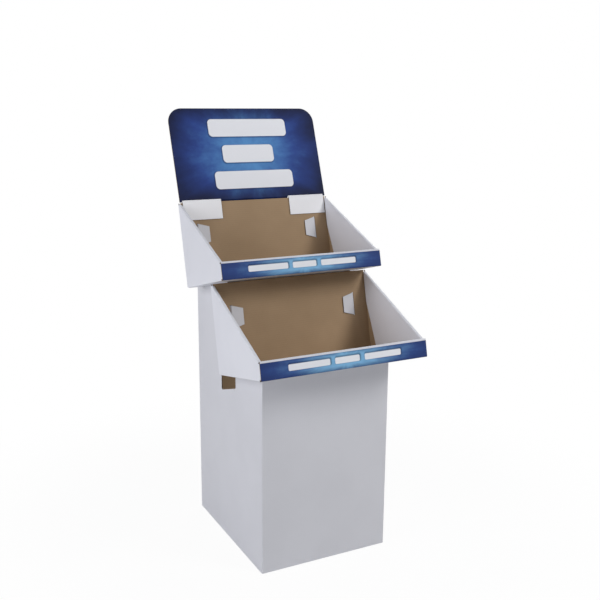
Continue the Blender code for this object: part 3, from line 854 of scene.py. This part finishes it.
class Shader:
    """A material's node tree under one Principled shader."""

    def __init__(self, name: str) -> None:
        """Starts a material."""
        self.material = bpy.data.materials.new(name)
        self.material.use_nodes = True
        self.tree = self.material.node_tree
        self.surface = self.tree.nodes["Principled BSDF"]

    def node(
        self, kind: str, settings: dict[str, object], inputs: dict[int | str, object], output: int | str = 0
    ) -> Wire:
        """Adds a node.

        Args:
            kind: Node type.
            settings: The node's own settings, set first.
            inputs: Value or link of each socket.
            output: Which output is wanted.

        Returns:
            That output.
        """
        made = self.tree.nodes.new(kind)
        for key, value in settings.items():
            setattr(made, key, value)
        for key, value in inputs.items():
            self._feed(made.inputs[key], value)
        return Wire(self, made.outputs[output])

    def _feed(self, socket: bpy.types.NodeSocket, value: object) -> None:
        """Links a wire to a socket, or sets the socket's value."""
        if isinstance(value, Wire):
            self.tree.links.new(value.socket, socket)
        else:
            socket.default_value = value

    def set(self, **values: object) -> None:
        """Sets or links inputs of the Principled shader, named in lower case with underscores."""
        for key, value in values.items():
            self._feed(self.surface.inputs[key.replace("_", " ").title()], value)

    def blank(self) -> tuple[Wire, Wire]:
        """The place in the flat blank, in metres, as two wires."""
        uv = self.node("ShaderNodeUVMap", {"uv_map": "blank"}, {})
        split = self.tree.nodes.new("ShaderNodeSeparateXYZ")
        self.tree.links.new(uv.socket, split.inputs[0])
        return Wire(self, split.outputs[0]), Wire(self, split.outputs[1])

    def vector(self, x: Wire | float, y: Wire | float, z: Wire | float = 0.0) -> Wire:
        """Joins three values to a vector."""
        return self.node("ShaderNodeCombineXYZ", {}, {0: x, 1: y, 2: z})

    def place(self) -> Wire:
        """The place in the object, in metres."""
        return self.node("ShaderNodeTexCoord", {}, {}, "Object")

    def noise(self, at: Wire, scale: float, detail: float = 2.0, roughness: float = 0.5) -> Wire:
        """Noise from 0 to 1 at a vector."""
        inputs = {"Vector": at, "Scale": scale, "Detail": detail, "Roughness": roughness}
        return self.node("ShaderNodeTexNoise", {}, inputs, "Fac")

    def mix(self, factor: Wire | float, first: object, second: object, blend: str = "MIX") -> Wire:
        """Mixes two colours."""
        made = self.tree.nodes.new("ShaderNodeMix")
        made.data_type = "RGBA"
        made.blend_type = blend
        self._feed(made.inputs["Factor"], factor)
        self._feed(made.inputs[6], colour(first))
        self._feed(made.inputs[7], colour(second))
        return Wire(self, made.outputs[2])

    def bump(self, height: Wire, depth: float, strength: float = 1.0) -> None:
        """Feeds a height, in shares of a depth in metres, to the surface's normal."""
        made = self.node("ShaderNodeBump", {}, {"Height": height, "Distance": depth, "Strength": strength})
        self.set(normal=made)


def colour(value: object) -> object:
    """An RGB triple as RGBA, and anything else as it is."""
    return (*value, 1.0) if isinstance(value, tuple) and len(value) == 3 else value


def srgb(red: int, green: int, blue: int) -> tuple[float, float, float]:
    """Linear colour of an sRGB one given from 0 to 255."""
    shares = (value / 255 for value in (red, green, blue))
    return tuple(s / 12.92 if s <= 0.04045 else ((s + 0.055) / 1.055) ** 2.4 for s in shares)


@dataclass(frozen=True)
class CoatedBoard:
    """White clay-coated outer liner, with the flutes showing through as faint lines."""

    name: str
    flutes_along_v: bool
    base: tuple[float, float, float] = (0.74, 0.745, 0.79)
    shade: tuple[float, float, float] = (0.70, 0.705, 0.75)
    roughness: float = 0.55

    def make(self) -> bpy.types.Material:
        """Builds the material."""
        shader = Shader(self.name)
        u, v = shader.blank()
        dress_coated(shader, u if self.flutes_along_v else v, self.base, self.shade, self.roughness)
        return shader.material


def dress_coated(
    shader: Shader,
    across: Wire,
    base: object,
    shade_colour: object,
    roughness: float,
) -> None:
    """Gives a shader the relief and colour variation of coated board.

    Args:
        shader: The shader.
        across: Distance across the flutes.
        base: Main colour.
        shade_colour: Colour of the cloudy darker patches.
        roughness: Mean roughness.
    """
    at = shader.place()
    cloud = shader.noise(at, 7.0, 3.0)
    fibre = shader.noise(at, 900.0, 2.0)
    drift = shader.noise(at, 30.0, 1.0)
    wave = (across * (math.tau / BOARD.flute_pitch) + drift * 1.5).math("SINE") * 0.5 + 0.5
    tone = (cloud.smooth(0.35, 0.7) * 0.6 + wave * 0.22 + fibre * 0.18).clamp()
    shader.set(base_color=shader.mix(tone, base, shade_colour))
    shader.set(roughness=(fibre * 0.12 + (roughness - 0.06)))
    shader.bump(wave * 0.75 + fibre * 0.25, 0.00006, 0.6)
    shader.surface.inputs["Specular IOR Level"].default_value = 0.35


@dataclass(frozen=True)
class KraftLiner:
    """Brown inner liner, with fibres, flecks and washboard lines."""

    name: str
    flutes_along_v: bool
    base: tuple[float, float, float] = (0.38, 0.261, 0.156)
    dark: tuple[float, float, float] = (0.27, 0.184, 0.107)
    light: tuple[float, float, float] = (0.46, 0.326, 0.204)

    def make(self) -> bpy.types.Material:
        """Builds the material."""
        shader = Shader(self.name)
        u, v = shader.blank()
        across, along = (u, v) if self.flutes_along_v else (v, u)
        at = shader.place()
        fibres = shader.noise(shader.vector(across * 900.0, along * 120.0), 1.0, 3.0, 0.6)
        flecks = shader.noise(at, 1400.0, 1.0).smooth(0.66, 0.74)
        cloud = shader.noise(at, 9.0, 3.0)
        drift = shader.noise(at, 30.0, 1.0)
        wave = (across * (math.tau / BOARD.flute_pitch) + drift * 1.5).math("SINE") * 0.5 + 0.5
        tone = (wave * 0.12 + cloud * 0.9 + fibres * 0.5 - 0.26).clamp()
        body = shader.mix(tone, self.dark, self.light)
        body = shader.mix(0.4, body, self.base)
        shader.set(base_color=shader.mix(flecks * 0.35, body, self.dark))
        shader.set(roughness=fibres * 0.15 + 0.72)
        shader.bump(wave * 0.5 + fibres * 0.5, 0.00006, 0.6)
        shader.surface.inputs["Specular IOR Level"].default_value = 0.2
        return shader.material


@dataclass(frozen=True)
class RawEdge:
    """Cut edge of the board, or its fluting."""

    name: str
    base: tuple[float, float, float] = (0.26, 0.18, 0.115)
    dark: tuple[float, float, float] = (0.13, 0.09, 0.055)

    def make(self) -> bpy.types.Material:
        """Builds the material."""
        shader = Shader(self.name)
        at = shader.place()
        fibre = shader.noise(at, 1500.0, 3.0, 0.6)
        shader.set(base_color=shader.mix(fibre.smooth(0.3, 0.7), self.dark, self.base))
        shader.set(roughness=fibre * 0.1 + 0.85)
        shader.bump(fibre, 0.00008, 0.6)
        return shader.material


@dataclass(frozen=True)
class Bar:
    """A plain white bar with round ends, printed in place of words."""

    x: float
    z: float
    half_length: float
    half_height: float

    def inside(self, shader: Shader, x: Wire, z: Wire, soft: float) -> Wire:
        """A mask that is 1 inside the bar.

        Args:
            shader: The shader.
            x: Place across the print.
            z: Place up the print.
            soft: Width of the soft border.

        Returns:
            The mask.
        """
        radius = self.half_height * 0.45
        dx = ((x - self.x).math("ABSOLUTE") - (self.half_length - radius)).math("MAXIMUM", 0.0)
        dz = ((z - self.z).math("ABSOLUTE") - (self.half_height - radius)).math("MAXIMUM", 0.0)
        reach = (dx * dx + dz * dz).math("SQRT")
        return 1.0 - reach.smooth(radius - soft / 2, radius + soft / 2)


@dataclass(frozen=True)
class Print:
    """Blue print on coated board, with white bars and bare margins."""

    name: str
    low: Vector
    high: Vector
    bars: tuple[Bar, ...]
    middle: tuple[float, float, float]
    field: tuple[float, float, float]
    rim: tuple[float, float, float]
    glow: tuple[float, float]
    margin: tuple[float, float]
    flutes_along_v: bool
    specular: float = 0.1
    shadow: float = 0.002
    bare: tuple[float, float, float] = (0.70, 0.705, 0.755)
    roughness: float = 0.5

    def make(self) -> bpy.types.Material:
        """Builds the material."""
        shader = Shader(self.name)
        u, v = shader.blank()
        middle_u, middle_v = (self.low.x + self.high.x) / 2, (self.low.y + self.high.y) / 2
        x, z = u - middle_u, v - middle_v
        half = (self.high - self.low) / 2
        clouds = shader.noise(shader.vector(x * 22.0, z * 22.0, 3.0), 1.0, 3.0, 0.6)
        wide, tall = x / self.glow[0], z / self.glow[1]
        spread = (wide * wide + tall * tall).math("SQRT") + 0.05
        streaks = shader.noise(shader.vector(wide / spread * 2.6, tall / spread * 2.6, spread * 1.5), 1.0, 4.0, 0.6)
        glow = 1.0 - (spread + (streaks - 0.5) * 0.7 + (clouds - 0.5) * 0.5).smooth(0.1, 1.1)
        beside, above = (x / half.x).math("ABSOLUTE"), (z / half.y).math("ABSOLUTE")
        far = beside.math("MAXIMUM", above) + beside * above * 0.25
        vignette = (far + (streaks - 0.5) * 0.5).smooth(0.45, 1.25)
        ink = shader.mix(glow, self.field, self.middle)
        ink = shader.mix(vignette * 0.95, ink, self.rim)
        for bar in self.bars:
            wide = replace(bar, half_length=bar.half_length + 0.002, half_height=bar.half_height + 0.002)
            shadow = wide.inside(shader, x - self.shadow, z + self.shadow, 3 * self.shadow)
            ink = shader.mix(shadow * 0.6, ink, (0.01, 0.015, 0.05))
        for bar in self.bars:
            ink = shader.mix(bar.inside(shader, x, z, 0.0012), ink, (0.83, 0.84, 0.88))
        bottom = (v - self.low.y).smooth(self.margin[0] - 0.0006, self.margin[0] + 0.0006)
        top = (self.high.y - v).smooth(self.margin[1] - 0.0006, self.margin[1] + 0.0006)
        cover = bottom * top
        at = shader.place()
        fibre = shader.noise(at, 900.0, 2.0)
        across = u if self.flutes_along_v else v
        wave = (across * (math.tau / BOARD.flute_pitch)).math("SINE") * 0.5 + 0.5
        shader.set(base_color=shader.mix(cover, self.bare, ink))
        shader.set(roughness=fibre * 0.1 + self.roughness)
        shader.bump(wave * 0.7 + fibre * 0.3, 0.00004, 0.5)
        shader.surface.inputs["Specular IOR Level"].default_value = self.specular
        return shader.material


def background_rays(tree: bpy.types.NodeTree) -> bpy.types.NodeSocket:
    """One for the rays that show the white background: the camera's, mirrored and transmitted ones.

    Args:
        tree: Where the nodes are made.

    Returns:
        The socket with the factor.
    """
    rays = tree.nodes.new("ShaderNodeLightPath").outputs
    factor = rays["Is Camera Ray"]
    for kind in ("Is Glossy Ray", "Is Transmission Ray"):
        either = tree.nodes.new("ShaderNodeMath")
        either.operation = "MAXIMUM"
        tree.links.new(factor, either.inputs[0])
        tree.links.new(rays[kind], either.inputs[1])
        factor = either.outputs[0]
    return factor


@dataclass
class Studio:
    """Camera, lights, backdrop and floor."""

    camera_place: Vector = field(default_factory=lambda: Vector((-1.1333, -2.2698, 1.3248)))
    yaw: float = math.radians(27.24)
    pitch: float = math.radians(13.13)
    roll: float = math.radians(0.43)
    lens: float = 51.891
    floor_glow: float = 0.95
    floor_fade: tuple[float, float] = (0.5, 1.4)

    def build(self) -> None:
        """Makes the whole studio."""
        scene = bpy.context.scene
        scene.view_settings.view_transform = "Standard"
        self._camera(scene)
        self._world(scene)
        self._floor()
        cool = (0.95, 0.96, 1.0)
        self._light("front_box", Vector((1.7, -2.3, 3.1)), 1.2, 54.0)
        self._light("front_low_box", Vector((1.8, -2.7, 2.5)), 0.8, 19.0)
        self._light("left_box", Vector((-3.4, -0.6, 1.75)), 2.0, 70.0, cool)
        self._light("rear_box", Vector((2.4, 2.8, 2.2)), 2.0, 52.0, cool)
        inside = Vector((-0.10, 0.24, 0.42))
        self._light("inside_fill", Vector((0.0, -0.05, 0.30)), 0.1, 0.045, aim=inside, spread=math.radians(60))

    def _camera(self, scene: bpy.types.Scene) -> None:
        """Places the camera at the photograph's viewpoint."""
        data = bpy.data.cameras.new("camera")
        data.lens = self.lens
        camera = bpy.data.objects.new("camera", data)
        scene.collection.objects.link(camera)
        turn = Matrix.Rotation(-self.yaw, 4, "Z") @ Matrix.Rotation(RIGHT_ANGLE - self.pitch, 4, "X")
        turn = turn @ Matrix.Rotation(self.roll, 4, "Z")
        camera.matrix_world = Matrix.Translation(self.camera_place) @ turn
        scene.camera = camera

    def _world(self, scene: bpy.types.Scene) -> None:
        """White for the camera, and a soft even light for the rest."""
        world = bpy.data.worlds.new("backdrop")
        world.use_nodes = True
        scene.world = world
        tree = world.node_tree
        tree.nodes.clear()
        seen = tree.nodes.new("ShaderNodeBackground")
        seen.inputs["Color"].default_value = (1, 1, 1, 1)
        soft = tree.nodes.new("ShaderNodeBackground")
        soft.inputs["Color"].default_value = (0.93, 0.95, 1.0, 1)
        soft.inputs["Strength"].default_value = 0.15
        mix = tree.nodes.new("ShaderNodeMixShader")
        out = tree.nodes.new("ShaderNodeOutputWorld")
        tree.links.new(background_rays(tree), mix.inputs[0])
        tree.links.new(soft.outputs[0], mix.inputs[1])
        tree.links.new(seen.outputs[0], mix.inputs[2])
        tree.links.new(mix.outputs[0], out.inputs[0])

    def _floor(self) -> None:
        """A pale floor that keeps the stand's shadow."""
        bm = bmesh.new()
        bmesh.ops.create_grid(bm, x_segments=1, y_segments=1, size=12)
        floor = new_object("studio_floor", bm)
        shader = Shader("studio_floor")
        shader.set(base_color=(0.85, 0.85, 0.85, 1.0), roughness=0.9)
        glow = shader.node("ShaderNodeEmission", {}, {"Color": (1, 1, 1, 1), "Strength": 1.0})
        seen = Wire(shader, background_rays(shader.tree))
        reach = shader.node("ShaderNodeVectorMath", {"operation": "LENGTH"}, {0: shader.place()}, "Value")
        share = reach.smooth(*self.floor_fade) * (1 - self.floor_glow) + self.floor_glow
        surface = Wire(shader, shader.surface.outputs[0])
        mixed = shader.node("ShaderNodeMixShader", {}, {0: seen * share, 1: surface, 2: glow})
        output = shader.tree.nodes["Material Output"]
        shader.tree.links.new(mixed.socket, output.inputs["Surface"])
        floor.data.materials.append(shader.material)

    def _light(
        self,
        name: str,
        place: Vector,
        size: float,
        power: float,
        tint: tuple[float, float, float] = (1.0, 1.0, 1.0),
        aim: Vector = Vector((0, 0, 0.65)),
        spread: float = math.pi,
    ) -> None:
        """Adds a soft box.

        Args:
            name: Name of the light.
            place: Where it stands.
            size: Side of its square.
            power: Power in watts.
            tint: Its colour.
            aim: The point that it faces.
            spread: Angle of the cone that it lights.
        """
        data = bpy.data.lights.new(name, "AREA")
        data.shape = "SQUARE"
        data.size = size
        data.energy = power
        data.color = tint
        data.spread = spread
        light = bpy.data.objects.new(name, data)
        bpy.context.scene.collection.objects.link(light)
        light.location = place
        light.rotation_euler = (aim - place).to_track_quat("-Z", "Y").to_euler()
        light.visible_camera = False


@dataclass
class Stand:
    """The whole display stand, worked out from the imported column's box."""

    upper_inset: float = 0.05794
    upper_drop: float = 0.19297
    upper_lean: float = math.radians(15.16)
    lower_inset: float = 0.30769
    lower_lean: float = math.radians(12.81)
    tray_clearance: float = 0.0027
    lip_bars: tuple[tuple[float, float], ...] = ((-0.115, 0.062), (0.0, 0.038), (0.112, 0.058))

    def build(self) -> None:
        """Builds and dresses every sheet."""
        low, high = (Vector(corner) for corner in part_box("column"))
        blank = Tray("blank", Seat(0, 0, 0))
        upper_corner = Vector((high.y - self.upper_inset, high.z - self.upper_drop))
        upper_seat = self._seat(blank, upper_corner, self.upper_lean)
        y = high.y - self.lower_inset
        top_y = y + blank.back * math.sin(self.lower_lean)
        underside = upper_corner.y + (upper_corner.x - top_y) * math.tan(self.upper_lean)
        z = underside - self.tray_clearance - blank.back * math.cos(self.lower_lean)
        lower_seat = self._seat(blank, Vector((y, z)), self.lower_lean)
        lower, upper = Tray("lower_tray", lower_seat), Tray("upper_tray", upper_seat)
        column = Column(lower_seat, upper_seat, upper, low, high)
        header = HeaderCard(upper)
        upright, level = True, False
        # Painted shade: the column's white coat is made darker than the trays' coat of the same white board, standing
        # in for the lower light that falls on the column.
        coat = CoatedBoard("column_coat_painted_shade", upright, (0.658, 0.66, 0.697), (0.625, 0.627, 0.663)).make()
        kraft = KraftLiner("column_kraft", upright).make()
        edge, flutes = RawEdge("cut_edge").make(), RawEdge("fluting", (0.24, 0.165, 0.10)).make()
        self._dress(column.fold(), Matrix.Identity(4), [coat, kraft, edge], flutes, "column")
        coat = CoatedBoard("tray_coat", level).make()
        kraft = KraftLiner("tray_kraft", level).make()
        ink = self._lip_print(lower).make()
        for tray in (lower, upper):
            finishes = [coat, kraft, edge, ink, kraft, edge]
            self._dress(tray.fold(), tray.seat.matrix, finishes, flutes, tray.name)
        # Painted light: the card's white coat, which shows on its tabs, is made lighter than the trays' coat of the
        # same white board, standing in for the stronger light on the upward-facing tabs.
        coat = CoatedBoard("card_coat_painted_light", upright, (0.88, 0.88, 0.905), (0.85, 0.85, 0.875)).make()
        kraft = KraftLiner("card_kraft", upright).make()
        finishes = [coat, kraft, edge, self._header_print(header).make(), kraft, edge]
        self._dress(header.fold(), header.seat.matrix, finishes, flutes, "header_card")

    def _seat(self, tray: Tray, corner: Vector, lean: float) -> Seat:
        """Seat of a tray whose rear lower corner lies at a point of the side view."""
        return Seat(corner.x - tray.depth * math.cos(lean), corner.y + tray.depth * math.sin(lean), lean)

    def _lip_print(self, tray: Tray) -> Print:
        """Print of a tray's lip, in the blank's own coordinates."""
        quarter = BOARD.fold_radius * RIGHT_ANGLE
        fold = BOARD.half + BOARD.fold_radius
        high = fold - quarter
        low = high - (tray.lip - 2 * fold)
        half = tray.width / 2
        bars = tuple(Bar(x, 0.0, half_length, 0.0085) for x, half_length in self.lip_bars)
        return Print(
            "lip_print",
            Vector((-half, low - quarter)),
            Vector((half, high + quarter)),
            bars,
            middle=srgb(130, 184, 222),
            field=srgb(52, 78, 142),
            rim=srgb(44, 60, 108),
            glow=(0.225, 0.085),
            margin=(0.005, 0.001),
            flutes_along_v=False,
        )

    def _header_print(self, header: HeaderCard) -> Print:
        """Print of the header card, in the blank's own coordinates."""
        half = header.width / 2
        bars = (
            Bar(-0.01, 0.085, 0.135, 0.0285),
            Bar(0.0, 0.0, 0.088, 0.0285),
            Bar(-0.01, -0.085, 0.135, 0.0285),
        )
        return Print(
            "header_print",
            Vector((-half, 0)),
            Vector((half, header.height)),
            bars,
            middle=srgb(88, 144, 199),
            field=srgb(45, 71, 146),
            rim=srgb(12, 15, 38),
            glow=(0.20, 0.17),
            margin=(-0.012, 0.0),
            flutes_along_v=True,
        )

    def _dress(
        self,
        sheet: Sheet,
        placement: Matrix,
        finishes: Sequence[bpy.types.Material],
        flutes: bpy.types.Material,
        node: str,
    ) -> None:
        """Finishes a folded sheet and its fluting, and ties both to the frame."""
        piece = sheet.finish(placement, finishes)
        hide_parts(node)
        wave = sheet.fluting(flutes)
        for item in (piece, wave):
            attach(item, "root")
            logger.info("%s: %d faces", item.name, len(item.data.polygons))


def main() -> None:
    """Builds the stand and the studio."""
    logging.basicConfig(level=logging.INFO, format="%(name)s %(message)s")
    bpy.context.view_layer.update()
    Stand().build()
    Studio().build()


if __name__ == "__main__":
    main()
